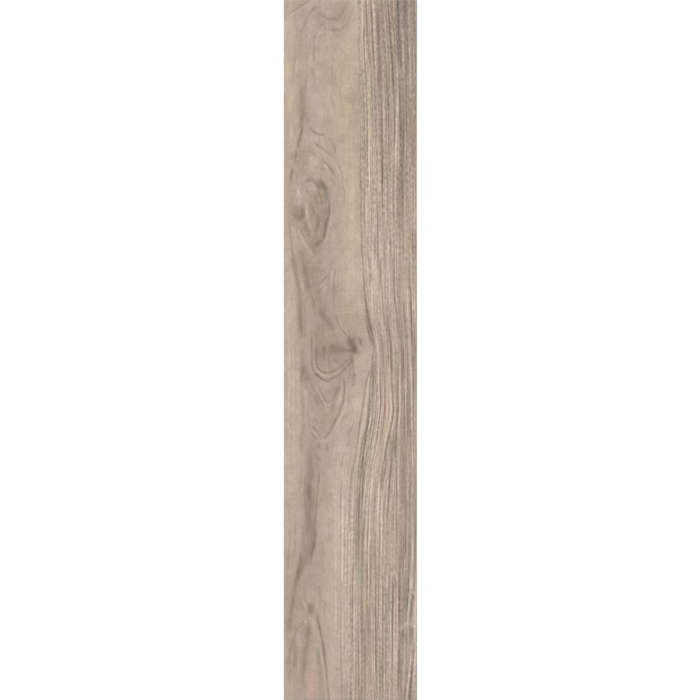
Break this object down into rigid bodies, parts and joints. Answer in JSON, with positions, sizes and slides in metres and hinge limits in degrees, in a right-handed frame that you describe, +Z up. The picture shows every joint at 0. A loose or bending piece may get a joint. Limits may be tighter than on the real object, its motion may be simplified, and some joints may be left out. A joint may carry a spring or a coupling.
{
  "type": "wood-look porcelain floor tile",
  "caption": "Long flat porcelain floor tile in the shape of a plank, with a wood-grain face, a ground arris and a keyed back for bedding adhesive.",
  "frame": {"origin": "centre of the underside, on the plane of the key ribs that the tile rests on", "axes": "+Z up through the face, +Y along the length in the direction of the grain, X across the width"},
  "size_m": [0.228, 1.2, 0.009],
  "materials": {
    "porcelain": "matt glaze printed with greige wood grain, unglazed fired body on the edges and back"
  },
  "bodies": {
    "root": {"floor_tile": "porcelain"}
  },
  "joints": []
}
